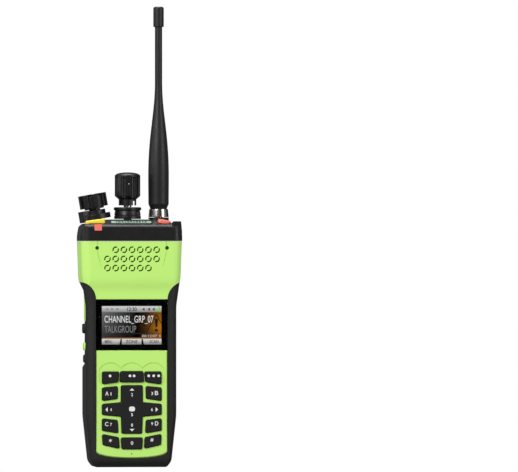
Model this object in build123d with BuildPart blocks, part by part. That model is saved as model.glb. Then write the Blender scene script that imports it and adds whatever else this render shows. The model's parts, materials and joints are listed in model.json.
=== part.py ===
from build123d import *
from math import cos, radians, sin, tan
import os

# Hand-held two-way radio, standing upright on its foot.
# +Z is up, the keypad faces -Y, and the side keys are on -X.
# The origin is the centre of the foot, midway between the front and the battery's back.

# ---------------------------------------------------------------- driving dimensions (mm)
# body outline, as half widths and heights
foot_half_w = 26.6
heel_half_w, heel_z = 30.0, 4.5
grip_half_w, grip_low_z, grip_high_z = 33.6, 38.0, 119.0
head_low_half_w, head_low_z = 36.6, 140.0
head_half_w, head_top_z = 37.6, 166.7

# depths, from the front to the back
front_limit_y = -24.6
bezel_front_y = -24.4
head_front_y = -24.0
grip_front_y = -22.4
panel_front_y = -22.0
deck_front_y = -19.0
deck_back_y = -16.8
notch_front_y = -14.5
split_y = 7.0
chassis_back_y = 9.4
battery_front_y = 9.9
battery_back_y = 24.6

# walls, gaps and fits
wall = 3.0
lip_inner_y = -19.2
cavity_half_w = 28.4
seat_gap = 0.2
key_gap = 0.35
moving_gap = 0.3

# display window and keypad panel
panel_half_w = 26.4
panel_top_z = 86.1
panel_bevel = 0.7
window_low_z, window_high_z = 86.3, 123.8
rail_arc_x, rail_arc_z, rail_arc_r = 39.9, 123.6, 13.2
lcd_z, lcd_w, lcd_h = 104.7, 45.2, 30.6

# keys
key_front_y = -23.2
key_back_y = -18.6
key_corner_r = 1.1
nav_z = 42.7

# speaker grille
grille_z = 153.7
grille_pitch_x, grille_pitch_z = 6.07, 6.75
ring_outer_r, ring_inner_r, ring_bridge_w = 2.45, 1.5, 1.1
speaker_z, speaker_r = 151.5, 14.0

# top cap and controls
bezel_low_z, crown_z = 166.9, 182.8
crown_flat_half_w, shoulder_half_w, shoulder_z = 16.0, 34.2, 179.4
slope_low_y, slope_low_z, slope_high_y = -22.6, 178.9, -11.6
control_y = -1.6
channel_x = -1.0
antenna_x = 22.1
lean = 10.0
lean_x, lean_z = -24.0, 181.3
shaft_r, shaft_bore_r = 2.9, 3.2

crown_tilt = 10.6
slope_tilt = 19.0


# ---------------------------------------------------------------- shared planes and profiles
def facing(y):
    """Front-facing plane at depth y: local x is X, local y is Z, extrusion goes forward."""
    return Plane.XZ.offset(-y)


def mirrored(points):
    return [(-x, z) for x, z in reversed(points)]


def body_outline():
    """Front outline of the body, from the foot to the top of the head."""
    right = [
        (foot_half_w, 0),
        (heel_half_w, heel_z),
        (grip_half_w, grip_low_z),
        (grip_half_w, grip_high_z),
        (head_low_half_w, head_low_z),
        (head_half_w, head_top_z),
    ]
    radii = [3, 7, 60, 40, 40, 0]
    with BuildSketch() as outline:
        with BuildLine():
            FilletPolyline(*right, *mirrored(right), radius=radii + radii[::-1], close=True)
        make_face()
    return outline.sketch


def panel_outline(grow=0.0):
    """Keypad panel: straight sides and a shallow smile along the bottom."""
    half_w = panel_half_w + grow
    corner_z, smile_z = 12.0 - grow, 6.2 - grow
    with BuildSketch() as outline:
        with BuildLine():
            Polyline((half_w, corner_z), (half_w, panel_top_z), (-half_w, panel_top_z), (-half_w, corner_z))
            Bezier((-half_w, corner_z), (1 - half_w, smile_z), (0, smile_z), (half_w - 1, smile_z),
                   (half_w, corner_z))
        make_face()
    return outline.sketch


def side_notch_outline():
    """Recess along the left side, where the side keys stand."""
    points = [(-42, 138.5), (-36.2, 137.2), (-31.8, 128.5), (-31.8, 76.2), (-34.2, 72.6), (-42, 72.0)]
    with BuildSketch() as outline:
        with BuildLine():
            FilletPolyline(*points, radius=[0, 2, 6, 2, 2, 0], close=True)
        make_face()
    return outline.sketch


def turned_profile(points):
    """Closed half section in the XZ plane, for turning about the Z axis."""
    with BuildSketch() as profile:
        with BuildLine():
            Polyline(*points, close=True)
        make_face()
    return profile.sketch


# ---------------------------------------------------------------- grip frame
with BuildPart() as grip_frame:
    with BuildSketch(facing(split_y)):
        add(body_outline())
    extrude(amount=split_y - grip_front_y)
    front_edges = grip_frame.faces().sort_by(Axis.Y)[0].edges()
    fillet(front_edges.filter_by(lambda e: e.center().Z < head_top_z - 1), radius=6)
    # keep the rails and the foot, with their round upper ends beside the window
    with BuildSketch(facing(split_y)):
        with Locations((0, window_high_z / 2)):
            Rectangle(2 * head_half_w + 4, window_high_z)
        with Locations((rail_arc_x, rail_arc_z), (-rail_arc_x, rail_arc_z)):
            Circle(rail_arc_r)
    extrude(amount=split_y - front_limit_y, mode=Mode.INTERSECT)
    # opening for the window and the keypad panel
    with BuildSketch(facing(0)):
        add(panel_outline(grow=0.4))
        with Locations((0, window_high_z)):
            Rectangle(2 * panel_half_w + 0.8, 2 * (window_high_z - panel_top_z) + 2)
    extrude(amount=30, mode=Mode.SUBTRACT)
    # hollow for the electronics
    with BuildSketch(facing(split_y)):
        with Locations((0, 3.4)):
            Rectangle(2 * cavity_half_w, 160, align=(Align.CENTER, Align.MIN))
    extrude(amount=split_y - lip_inner_y, mode=Mode.SUBTRACT)
    with BuildSketch(facing(split_y)):
        add(side_notch_outline())
    extrude(amount=split_y - notch_front_y, mode=Mode.SUBTRACT)

# ---------------------------------------------------------------- side controls
# name: lowest Z, highest Z, outermost X, corner radius of the face
side_controls = {
    "ptt_paddle": (107.4, 131.4, -33.5, 2.4),
    "side_key_upper": (98.6, 105.9, -34.9, 2.8),
    "side_key_middle": (86.2, 91.9, -34.4, 2.4),
    "side_key_lower": (76.9, 82.9, -34.2, 2.4),
}
side_key_y, side_key_w = -7.0, 12.0
side_key_inner_x = -29.8


def side_control_outline(low_z, high_z, corner_r, grow=0.0):
    """Round-cornered outline on a plane that faces -X: local x is Y, local y is Z."""
    with Locations((side_key_y, (low_z + high_z) / 2)):
        RectangleRounded(side_key_w + 2 * grow, high_z - low_z + 2 * grow, corner_r + grow)


side_pieces = {}
for control_name, (low_z, high_z, outer_x, corner_r) in side_controls.items():
    with BuildPart() as control:
        with BuildSketch(Plane.YZ.offset(side_key_inner_x)):
            side_control_outline(low_z, high_z, corner_r)
        extrude(amount=outer_x - side_key_inner_x)
        fillet(control.faces().sort_by(Axis.X)[0].edges(), radius=0.9)
    side_pieces[control_name] = control.part
    with grip_frame:
        with BuildSketch(Plane.YZ.offset(-cavity_half_w + 1)):
            side_control_outline(low_z, high_z, corner_r, grow=key_gap)
        extrude(amount=-12, mode=Mode.SUBTRACT)

# ---------------------------------------------------------------- key caps
# corner points of each cap on the left half, as (x, z); the right half mirrors them
left_keys = {
    "key_soft_left": [(-21.8, 70.4), (-9.4, 70.4), (-10.3, 63.0), (-21.8, 61.4)],
    "key_1": [(-21.9, 58.6), (-10.5, 59.7), (-10.7, 50.7), (-21.9, 49.1)],
    "key_7": [(-21.9, 35.9), (-10.7, 34.7), (-10.1, 25.3), (-21.9, 27.2)],
    "key_star": [(-21.9, 24.4), (-9.8, 22.0), (-9.2, 13.9), (-21.4, 16.7)],
}
right_names = {
    "key_soft_left": "key_soft_right",
    "key_1": "key_3",
    "key_7": "key_9",
    "key_star": "key_hash",
}
key_outlines = {
    "key_soft_middle": [(-8.4, 70.7), (8.4, 70.7), (8.8, 62.9), (-8.8, 62.9)],
    "key_0": [(-8.0, 21.8), (8.0, 21.8), (7.4, 13.5), (-7.4, 13.5)],
}
for left_name, points in left_keys.items():
    key_outlines[left_name] = points
    key_outlines[right_names[left_name]] = [(-x, z) for x, z in points]

arm_x, arm_root_x, arm_end_h, arm_root_h = 21.9, 7.9, 7.7, 10.2
bar_top_z, bar_low_z, bar_low_x = 60.3, 25.0, 7.4
cross_right = [
    (arm_root_x, bar_top_z),
    (arm_root_x, nav_z + arm_root_h / 2),
    (arm_x, nav_z + arm_end_h / 2),
    (arm_x, nav_z - arm_end_h / 2),
    (arm_root_x - 0.1, nav_z - arm_root_h / 2),
    (bar_low_x, bar_low_z),
]
key_outlines["nav_cross_key"] = cross_right + mirrored(cross_right)


def key_outline(points, grow=0.0):
    """Key cap outline with rounded corners, grown evenly for its opening."""
    with BuildSketch() as outline:
        with BuildLine():
            FilletPolyline(*points, radius=key_corner_r, close=True)
        make_face()
        if grow:
            offset(amount=grow)
    return outline.sketch


key_pieces = {}
for key_name, points in key_outlines.items():
    back_y = -20.2 if key_name == "nav_cross_key" else key_back_y
    with BuildPart() as key_cap:
        with BuildSketch(facing(back_y)):
            add(key_outline(points))
        extrude(amount=back_y - key_front_y)
        fillet(key_cap.faces().sort_by(Axis.Y)[0].edges(), radius=0.5)
    key_pieces[key_name] = key_cap.part

# ---------------------------------------------------------------- front housing
mic_z, mic_r = 10.0, 1.9
head_screw_x, head_screw_z, head_screw_r = 25.9, 161.8, 1.4
groove_low_x, groove_low_z, groove_w, groove_depth = 22.8, 147.6, 0.7, 0.35
scallop_r, scallop_z, scallop_depth = 9.6, 67.6, 0.4

with BuildPart() as front_housing:
    with BuildSketch(facing(split_y)):
        add(body_outline())
    extrude(amount=split_y - head_front_y)
    front_edges = front_housing.faces().sort_by(Axis.Y)[0].edges()
    fillet(front_edges.filter_by(lambda e: e.center().Z < head_top_z - 1), radius=6.5)
    # the head alone, with round bites where the rails end
    with BuildSketch(facing(split_y)):
        with Locations((0, window_high_z + seat_gap)):
            Rectangle(90, 60, align=(Align.CENTER, Align.MIN))
        with Locations((rail_arc_x, rail_arc_z), (-rail_arc_x, rail_arc_z)):
            Circle(rail_arc_r + seat_gap, mode=Mode.SUBTRACT)
    extrude(amount=split_y - front_limit_y, mode=Mode.INTERSECT)
    # soft step from the head down to the window
    with BuildSketch(Plane.YZ):
        with BuildLine():
            Bezier((panel_front_y - 0.2, 127), (panel_front_y - 0.2, 134.5), (head_front_y, 133), (head_front_y, 141))
            Polyline((head_front_y, 141), (-30, 141), (-30, 120), (panel_front_y - 0.2, 120), (panel_front_y - 0.2, 127))
        make_face()
    extrude(amount=50, both=True, mode=Mode.SUBTRACT)
    # hollow of the head
    with BuildSketch(facing(split_y)):
        add(body_outline())
        offset(amount=-wall, kind=Kind.INTERSECTION)
        with Locations((0, head_top_z)):
            Rectangle(2 * (head_half_w - wall), 10)
    extrude(amount=split_y - (head_front_y + wall), mode=Mode.SUBTRACT)
    # deck behind the window and the keypad, and its root at the head
    with BuildSketch(facing(deck_back_y)):
        with Locations((0, 4.0)):
            Rectangle(2 * (cavity_half_w - moving_gap), 124, align=(Align.CENTER, Align.MIN))
    extrude(amount=deck_back_y - deck_front_y)
    with BuildSketch(facing(deck_front_y)):
        with Locations((0, panel_top_z - 1)):
            Rectangle(2 * panel_half_w, 42.5, align=(Align.CENTER, Align.MIN))
    extrude(amount=1.6)
    with BuildSketch(facing(deck_back_y)):
        with Locations((0, window_high_z + seat_gap)):
            Rectangle(2 * panel_half_w, 3.2, align=(Align.CENTER, Align.MIN))
    extrude(amount=deck_back_y - (head_front_y + wall) + 0.4)
    # keypad panel with a bevel all round
    with BuildSketch(facing(deck_front_y)):
        add(panel_outline())
    extrude(amount=deck_front_y - panel_front_y - panel_bevel)
    with BuildSketch(facing(panel_front_y + panel_bevel)):
        add(panel_outline())
    with BuildSketch(facing(panel_front_y)):
        add(panel_outline(grow=-panel_bevel))
    loft(ruled=True)
    # opening behind the window for the display
    with BuildSketch(facing(0)):
        with Locations((0, lcd_z)):
            Rectangle(lcd_w + 2 * moving_gap, lcd_h + 2 * moving_gap)
    extrude(amount=20.7, mode=Mode.SUBTRACT)
    # key openings
    for points in key_outlines.values():
        with BuildSketch(facing(0)):
            add(key_outline(points, grow=key_gap))
        extrude(amount=30, mode=Mode.SUBTRACT)
    # three shallow thumb scallops above the top keys
    with BuildSketch(facing(panel_front_y + scallop_depth)):
        with Locations((-15.8, scallop_z), (0, scallop_z), (15.8, scallop_z)):
            Circle(scallop_r)
        with Locations((0, scallop_z)):
            Rectangle(48.6, 2 * scallop_r + 1, mode=Mode.INTERSECT)
    extrude(amount=2, mode=Mode.SUBTRACT)
    # grille: 19 rings, each cut as two arcs that leave a centre island on two bridges
    with BuildSketch(facing(-15)):
        for row, columns in ((1, range(-2, 4)), (0, range(-3, 4)), (-1, range(-3, 3))):
            spots = [(grille_pitch_x * column, grille_z + grille_pitch_z * row) for column in columns]
            with Locations(*spots):
                Circle(ring_outer_r)
            with Locations(*spots):
                Circle(ring_inner_r, mode=Mode.SUBTRACT)
            with Locations(*spots):
                Rectangle(2 * ring_outer_r + 1, ring_bridge_w, rotation=45, mode=Mode.SUBTRACT)
    extrude(amount=15, mode=Mode.SUBTRACT)
    # head screw holes, each on a fine groove that runs down and inward
    with BuildSketch(facing(-15)):
        with Locations((head_screw_x, head_screw_z), (-head_screw_x, head_screw_z)):
            Circle(head_screw_r)
    extrude(amount=15, mode=Mode.SUBTRACT)
    with BuildSketch(facing(head_front_y + groove_depth)):
        for side in (-1, 1):
            with BuildLine():
                Polyline(
                    (side * head_screw_x, head_top_z + 1),
                    (side * (head_screw_x - groove_w), head_top_z + 1),
                    (side * (head_screw_x - groove_w), head_screw_z - 3),
                    (side * groove_low_x, groove_low_z),
                    (side * head_screw_x, head_screw_z - 3),
                    close=True,
                )
            make_face()
    extrude(amount=2, mode=Mode.SUBTRACT)
    # microphone port and pocket
    with BuildSketch(facing(0)):
        with Locations((0, mic_z)):
            Circle(0.5)
    extrude(amount=30, mode=Mode.SUBTRACT)
    with BuildSketch(facing(0)):
        with Locations((0, mic_z)):
            Circle(mic_r)
    extrude(amount=19.6, mode=Mode.SUBTRACT)

with BuildPart() as microphone:
    with BuildSketch(facing(deck_back_y - 0.2)):
        with Locations((0, mic_z)):
            Circle(mic_r)
    extrude(amount=2.4)

# ---------------------------------------------------------------- display
with BuildPart() as display_glass:
    with BuildSketch(facing(-20.8)):
        with Locations((0, (window_low_z + window_high_z) / 2)):
            RectangleRounded(2 * panel_half_w + 0.4, window_high_z - window_low_z, 0.6)
    extrude(amount=1.5)
    chamfer(display_glass.faces().sort_by(Axis.Y)[0].edges(), length=0.25)

with BuildPart() as lcd_module:
    with BuildSketch(facing(-17.4)):
        with Locations((0, lcd_z)):
            Rectangle(lcd_w, lcd_h)
    extrude(amount=3.2)

# ---------------------------------------------------------------- keypad internals
membrane_low_z, membrane_high_z = 12.6, 84.4
membrane_back_y, membrane_front_y, dome_y = -15.7, -16.6, -17.6
dome_r = 2.4


def outline_centre(points):
    return (sum(x for x, z in points) / len(points), sum(z for x, z in points) / len(points))


with BuildPart() as keypad_membrane:
    with BuildSketch(facing(membrane_back_y)):
        with Locations((0, membrane_low_z)):
            Rectangle(2 * cavity_half_w - 3, membrane_high_z - membrane_low_z, align=(Align.CENTER, Align.MIN))
    extrude(amount=membrane_back_y - membrane_front_y)
    for key_name, points in key_outlines.items():
        if key_name != "nav_cross_key":
            with BuildSketch(facing(membrane_front_y)):
                with Locations(outline_centre(points)):
                    Circle(dome_r)
            extrude(amount=membrane_front_y - dome_y, taper=8)
    with BuildSketch(facing(0)):
        with Locations((0, nav_z)):
            Circle(3.0)
    extrude(amount=30, mode=Mode.SUBTRACT)

with BuildPart() as nav_plunger:
    with BuildSketch(facing(-16.3)):
        with Locations((0, nav_z)):
            Circle(2.2)
    extrude(amount=1.9)

with BuildPart() as nav_rocker_plate:
    with BuildSketch(facing(-18.6)):
        with Locations((0, nav_z)):
            RectangleRounded(14, 14, 2)
    extrude(amount=1.2)

keypad_board_y = -14.0
with BuildPart() as keypad_board:
    with BuildSketch(facing(keypad_board_y)):
        with Locations((0, membrane_low_z)):
            Rectangle(2 * cavity_half_w - 4, 71, align=(Align.CENTER, Align.MIN))
    extrude(amount=1.2)

# ---------------------------------------------------------------- electronics
board_front_y, board_back_y = -4.0, -2.6
with BuildPart() as main_board:
    with BuildSketch(facing(board_back_y)):
        with Locations((0, 8)):
            Rectangle(54, 152, align=(Align.CENTER, Align.MIN))
    extrude(amount=board_back_y - board_front_y)
    with BuildSketch(facing(board_front_y)):
        with Locations((-14, 30), (10, 26), (12, 60), (-10, 70), (0, 108)):
            Rectangle(14, 14)
    extrude(amount=1.6)

with BuildPart() as shield_can:
    with BuildSketch(facing(1.8)):
        with Locations((0, 88)):
            RectangleRounded(46, 120, 1.5)
    extrude(amount=1.8 - board_back_y)
    fillet(shield_can.faces().sort_by(Axis.Y)[-1].edges(), radius=0.6)

# ---------------------------------------------------------------- loudspeaker
cloth_back_y = -20.5
with BuildPart() as speaker_cloth:
    with BuildSketch(facing(cloth_back_y)):
        with Locations((0, grille_z)):
            RectangleRounded(44, 20, 3)
    extrude(amount=0.4)

with BuildPart() as speaker_frame:
    with BuildSketch(facing(-15)):
        with Locations((0, speaker_z)):
            Circle(speaker_r)
            Circle(speaker_r - 2, mode=Mode.SUBTRACT)
    extrude(amount=5.2)
    with BuildSketch(facing(-14)):
        with Locations((0, speaker_z)):
            Circle(speaker_r)
            Circle(7, mode=Mode.SUBTRACT)
    extrude(amount=1)

with BuildPart() as speaker_cone:
    with BuildSketch(Plane(origin=(0, -15, speaker_z))):
        with BuildLine():
            Polyline((0, -0.6), (3.5, -0.9), (11.7, -4.6), (11.7, -4.0), (3.5, -0.2), (0, 0.0), close=True)
        make_face()
    revolve(axis=Axis((0, 0, speaker_z), (0, 1, 0)))

with BuildPart() as speaker_magnet:
    with BuildSketch(facing(-9.5)):
        with Locations((0, speaker_z)):
            Circle(9)
    extrude(amount=4.4)
    fillet(speaker_magnet.faces().sort_by(Axis.Y)[-1].edges(), radius=0.8)

# ---------------------------------------------------------------- rear chassis, seal, screws
chassis_screw_spots = [(-24, 9), (24, 9), (-24, 156), (24, 156)]
clip_hole_spots = [(-12.5, 156), (12.5, 156)]
clip_hole_r, clip_hole_depth = 1.25, 4.4
screw_r, screw_head_r = 1.2, 2.4
spigot_front_y = 4.8
gasket_y, gasket_w = 6.6, 1.0

with BuildPart() as rear_chassis:
    with BuildSketch(facing(chassis_back_y)):
        add(body_outline())
    extrude(amount=chassis_back_y - split_y)
    back_edges = rear_chassis.faces().sort_by(Axis.Y)[-1].edges()
    chamfer(back_edges.filter_by(lambda e: e.center().Z < head_top_z - 1), length=1.0)
    with BuildSketch(facing(split_y)):
        with Locations((0, 3.8)):
            Rectangle(2 * (cavity_half_w - moving_gap), 156, align=(Align.CENTER, Align.MIN))
    extrude(amount=split_y - spigot_front_y)
    # groove for the seal, round the spigot's edge
    with BuildSketch(facing(gasket_y)):
        with Locations((0, 3.8)):
            Rectangle(2 * cavity_half_w, 156, align=(Align.CENTER, Align.MIN))
        with Locations((0, 3.8 + gasket_w)):
            Rectangle(2 * (cavity_half_w - moving_gap - gasket_w), 156 - 2 * gasket_w,
                      align=(Align.CENTER, Align.MIN), mode=Mode.SUBTRACT)
    extrude(amount=gasket_w, mode=Mode.SUBTRACT)
    with BuildSketch(facing(chassis_back_y + 1)):
        add(side_notch_outline())
    extrude(amount=10, mode=Mode.SUBTRACT)
    with BuildSketch(facing(chassis_back_y)):
        with Locations(*chassis_screw_spots):
            Circle(screw_head_r)
    extrude(amount=1.4, mode=Mode.SUBTRACT)
    with BuildSketch(facing(chassis_back_y)):
        with Locations(*chassis_screw_spots):
            Circle(screw_r)
    extrude(amount=6, mode=Mode.SUBTRACT)
    # two tapped holes for a belt clip
    with BuildSketch(facing(chassis_back_y)):
        with Locations(*clip_hole_spots):
            Circle(clip_hole_r)
    extrude(amount=clip_hole_depth, mode=Mode.SUBTRACT)

with BuildPart() as body_gasket:
    with BuildSketch(facing(gasket_y)):
        with Locations((0, 3.8)):
            Rectangle(2 * (cavity_half_w - 0.05), 156, align=(Align.CENTER, Align.MIN))
        with Locations((0, 3.8 + gasket_w)):
            Rectangle(2 * (cavity_half_w - moving_gap - gasket_w), 156 - 2 * gasket_w,
                      align=(Align.CENTER, Align.MIN), mode=Mode.SUBTRACT)
    extrude(amount=gasket_w)

with BuildPart() as chassis_screws:
    with BuildSketch(facing(chassis_back_y - 0.2)):
        with Locations(*chassis_screw_spots):
            Circle(screw_head_r)
    extrude(amount=1.2)
    with BuildSketch(facing(chassis_back_y - 1.0)):
        with Locations(*chassis_screw_spots):
            Circle(screw_r)
    extrude(amount=4.4)
    with BuildSketch(facing(-19.4)):
        with Locations((head_screw_x, head_screw_z), (-head_screw_x, head_screw_z)):
            Circle(head_screw_r)
    extrude(amount=3.8)

# ---------------------------------------------------------------- connector cover, right side
with BuildPart() as accessory_cover:
    with BuildSketch(Plane.YZ.offset(grip_half_w)):
        with Locations((0.4, 101)):
            RectangleRounded(11, 26, 3)
    extrude(amount=1.1)
    fillet(accessory_cover.faces().sort_by(Axis.X)[-1].edges(), radius=0.5)
    with BuildSketch(Plane.YZ.offset(grip_half_w)):
        with Locations((0.4, 95)):
            Circle(2.6)
    extrude(amount=5, mode=Mode.SUBTRACT)

with BuildPart() as cover_screw:
    with BuildSketch(Plane.YZ.offset(grip_half_w)):
        with Locations((0.4, 95)):
            Circle(2.6)
    extrude(amount=1.4)
    with BuildSketch(Plane.YZ.offset(grip_half_w + 1.4)):
        with Locations((0.4, 95)):
            Rectangle(0.7, 3.8)
    extrude(amount=-0.6, mode=Mode.SUBTRACT)

# ---------------------------------------------------------------- top cap
def crown_z_at(x):
    return crown_z - max(0, abs(x) - crown_flat_half_w) * tan(radians(crown_tilt))


def crown_plane(x, y, side):
    """Plane on the sloping shoulder of the crown, with its normal out of the surface."""
    tilt = radians(crown_tilt)
    return Plane(origin=(x, y, crown_z_at(x)), x_dir=(cos(tilt), 0, -side * sin(tilt)),
                 z_dir=(side * sin(tilt), 0, cos(tilt)))


slope_plane = Plane(
    origin=(0, (slope_low_y + slope_high_y) / 2, (slope_low_z + crown_z) / 2),
    x_dir=(1, 0, 0),
    z_dir=(0, -sin(radians(slope_tilt)), cos(radians(slope_tilt))),
)
lean_plane = Plane(
    origin=(lean_x, control_y, lean_z),
    x_dir=(cos(radians(lean)), 0, sin(radians(lean))),
    z_dir=(-sin(radians(lean)), 0, cos(radians(lean))),
)
channel_plane = Plane(origin=(channel_x, control_y, 0))
antenna_plane = Plane(origin=(antenna_x, control_y, 0))
lens_x, lens_tilt = -26.6, 7.5
level_lens_plane = Plane(
    origin=(lens_x, -17.0, crown_z_at(lens_x) + 0.5),
    x_dir=(cos(radians(lens_tilt)), 0, sin(radians(lens_tilt))),
    z_dir=(-sin(radians(lens_tilt)), 0, cos(radians(lens_tilt))),
)
lens_depth, lens_proud = 2.6, 1.3
button_plane = crown_plane(24.6, -17.0, 1)
lens_len, lens_w = 14.6, 4.4
button_len, button_w = 9.8, 4.8
strip_len, strip_w = 29.6, 4.4
light_x, light_w, light_low_z, light_high_z = -25.2, 5.5, 174.6, 179.3
bush_r, stud_r = 4.2, 3.0

with BuildPart() as top_bezel:
    # plan with round corners
    half_w = head_half_w + 0.3
    with BuildSketch(Plane.XY.offset(bezel_low_z)):
        with BuildLine():
            FilletPolyline((-half_w, bezel_front_y), (half_w, bezel_front_y), (half_w, chassis_back_y),
                           (-half_w, chassis_back_y), radius=[7, 7, 3, 3], close=True)
        make_face()
    extrude(amount=20)
    # crowned outline seen from the front
    crown_right = [
        (half_w, bezel_low_z),
        (half_w, 170.2),
        (head_half_w - 1.1, 177.4),
        (shoulder_half_w, shoulder_z),
        (crown_flat_half_w, crown_z),
    ]
    with BuildSketch(facing(12)):
        with BuildLine():
            FilletPolyline(*crown_right, *mirrored(crown_right),
                           radius=[0, 6, 2.5, 1.5, 12, 12, 1.5, 2.5, 6, 0], close=True)
        make_face()
    extrude(amount=40, mode=Mode.INTERSECT)
    # front slope and rear edge seen from the side
    side_points = [
        (bezel_front_y, bezel_low_z),
        (bezel_front_y, 177.2),
        (slope_low_y, slope_low_z),
        (slope_high_y, crown_z + 0.1),
        (8.4, crown_z + 0.1),
        (chassis_back_y, 181.2),
        (chassis_back_y, bezel_low_z),
    ]
    with BuildSketch(Plane.YZ.offset(-40)):
        with BuildLine():
            FilletPolyline(*side_points, radius=[0, 2, 1, 5, 0.8, 0.8, 0], close=True)
        make_face()
    extrude(amount=80, mode=Mode.INTERSECT)
    # raised corner post
    with BuildSketch(facing(-13.5)):
        with BuildLine():
            FilletPolyline((30.0, 176), (30.0, 179.6), (31.6, 181.5), (36.4, 181.5), (37.2, 173), (36, 170),
                           radius=[0, 0.8, 0.6, 0.8, 0, 0], close=True)
        make_face()
    extrude(amount=10.2)
    # hollow below
    with BuildSketch(Plane.XY.offset(bezel_low_z)):
        with Locations((0, (head_front_y + wall + split_y) / 2)):
            RectangleRounded(2 * (head_half_w - wall), split_y - head_front_y - wall, 4)
    extrude(amount=8.2, mode=Mode.SUBTRACT)
    # pockets
    with BuildSketch(slope_plane.offset(-1.2)):
        RectangleRounded(strip_len, strip_w, 1)
    extrude(amount=6, mode=Mode.SUBTRACT)
    with BuildSketch(level_lens_plane.offset(-lens_depth)):
        SlotOverall(lens_len, lens_w)
    extrude(amount=8, mode=Mode.SUBTRACT)
    with BuildSketch(button_plane.offset(-2.4)):
        SlotOverall(button_len + 2 * moving_gap, button_w + 2 * moving_gap)
    extrude(amount=8, mode=Mode.SUBTRACT)
    with BuildSketch(facing(-22.4)):
        with Locations((light_x, (light_low_z + light_high_z) / 2)):
            Rectangle(light_w, light_high_z - light_low_z)
    extrude(amount=6, mode=Mode.SUBTRACT)
    # holes for the controls and the antenna
    with BuildSketch(channel_plane.offset(160)):
        Circle(shaft_bore_r)
    extrude(amount=40, mode=Mode.SUBTRACT)
    with BuildSketch(antenna_plane.offset(160)):
        Circle(stud_r)
    extrude(amount=40, mode=Mode.SUBTRACT)
    with BuildSketch(lean_plane.offset(-20)):
        Circle(bush_r)
    extrude(amount=40, mode=Mode.SUBTRACT)

with BuildPart() as top_display:
    with BuildSketch(slope_plane.offset(-1.2)):
        RectangleRounded(strip_len, strip_w, 1)
    extrude(amount=1.35)

with BuildPart() as level_lens:
    with BuildSketch(level_lens_plane.offset(-lens_depth)):
        SlotOverall(lens_len, lens_w)
    extrude(amount=lens_depth + lens_proud)
    fillet(level_lens.faces().sort_by(Axis.Z)[-1].edges(), radius=1.0)

with BuildPart() as status_light:
    with BuildSketch(facing(-22.4)):
        with Locations((light_x, (light_low_z + light_high_z) / 2)):
            Rectangle(light_w, light_high_z - light_low_z)
    extrude(amount=-front_limit_y - 22.4)
    fillet(status_light.edges().filter_by(Axis.Y), radius=0.6)

with BuildPart() as emergency_button:
    with BuildSketch(button_plane.offset(-1.5)):
        SlotOverall(button_len, button_w)
    extrude(amount=2.8)
    fillet(emergency_button.faces().sort_by(Axis.Z)[-1].edges(), radius=1.0)

# ---------------------------------------------------------------- leaning volume control
with BuildPart() as volume_bush:
    with BuildSketch(lean_plane.offset(-6)):
        Circle(bush_r)
        Circle(shaft_bore_r, mode=Mode.SUBTRACT)
    extrude(amount=15.4)

lever_flange_r, lever_hub_r = 11.0, 7.8
knob_hub_r, knob_rib_count, knob_rib_angle = 8.3, 8, -127

with BuildPart() as lever_ring:
    with BuildSketch(lean_plane.offset(1.6)):
        Circle(lever_flange_r)
    extrude(amount=3.8)
    with BuildSketch(lean_plane.offset(1.6)):
        Circle(lever_hub_r)
    extrude(amount=6.8)
    # finger block
    with BuildSketch(lean_plane.offset(0.7)):
        with PolarLocations(9.0, 1, start_angle=196):
            RectangleRounded(6.4, 7.6, 1.2)
    extrude(amount=8.3)
    with BuildSketch(lean_plane.offset(-2)):
        Circle(bush_r + moving_gap)
    extrude(amount=20, mode=Mode.SUBTRACT)

with BuildPart() as volume_knob:
    # narrow skirt, hub, and ribs that stand above the hub
    with BuildSketch(lean_plane.offset(9.4)):
        Circle(7.2)
    extrude(amount=2)
    with BuildSketch(lean_plane.offset(10.6)):
        Circle(knob_hub_r)
    extrude(amount=8.2)
    with BuildSketch(lean_plane.offset(10.6)):
        with PolarLocations(7.9, knob_rib_count, start_angle=knob_rib_angle):
            RectangleRounded(5.0, 3.9, 0.7)
    extrude(amount=9.8)
    with BuildSketch(lean_plane.offset(0)):
        Circle(shaft_r)
    extrude(amount=17.4, mode=Mode.SUBTRACT)

with BuildPart() as volume_shaft:
    with BuildSketch(lean_plane.offset(-8)):
        Circle(shaft_r)
    extrude(amount=25.4)

# ---------------------------------------------------------------- channel control
knob_r, knob_neck_r = 9.45, 6.5
knob_low_z, knob_chamfer_z, knob_wide_z, knob_shoulder_z, knob_top_z = 193.2, 197.6, 200.2, 215.3, 217.7

with BuildPart() as channel_knob:
    with BuildSketch(Plane.XZ.offset(-control_y)):
        with BuildLine():
            l1 = Polyline(
                (channel_x, knob_low_z),
                (channel_x + knob_neck_r, knob_low_z),
                (channel_x + knob_neck_r, knob_chamfer_z),
                (channel_x + knob_r, knob_wide_z),
                (channel_x + knob_r, knob_shoulder_z),
            )
            Bezier(l1 @ 1, (channel_x + 8.4, knob_top_z - 0.5), (channel_x + 4, knob_top_z), (channel_x, knob_top_z))
            Line((channel_x, knob_top_z), (channel_x, knob_low_z))
        make_face()
    revolve(axis=Axis((channel_x, control_y, 0), (0, 0, 1)))
    # flutes
    with BuildSketch(channel_plane.offset(knob_chamfer_z)):
        with PolarLocations(knob_r + 0.4, 8, start_angle=22.5):
            Circle(2.3)
    extrude(amount=knob_shoulder_z - 1.1 - knob_chamfer_z, mode=Mode.SUBTRACT)
    # slot beside the stem, under the neck
    with BuildSketch(facing(10)):
        with Locations((channel_x + 4.5, knob_low_z)):
            Rectangle(2.0, 6.6)
    extrude(amount=30, mode=Mode.SUBTRACT)
    with BuildSketch(channel_plane.offset(knob_low_z - 1)):
        Circle(shaft_r)
    extrude(amount=17, mode=Mode.SUBTRACT)

with BuildPart() as channel_shaft:
    with BuildSketch(channel_plane.offset(169)):
        Circle(shaft_r)
    extrude(amount=knob_low_z + 16 - 169)

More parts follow.
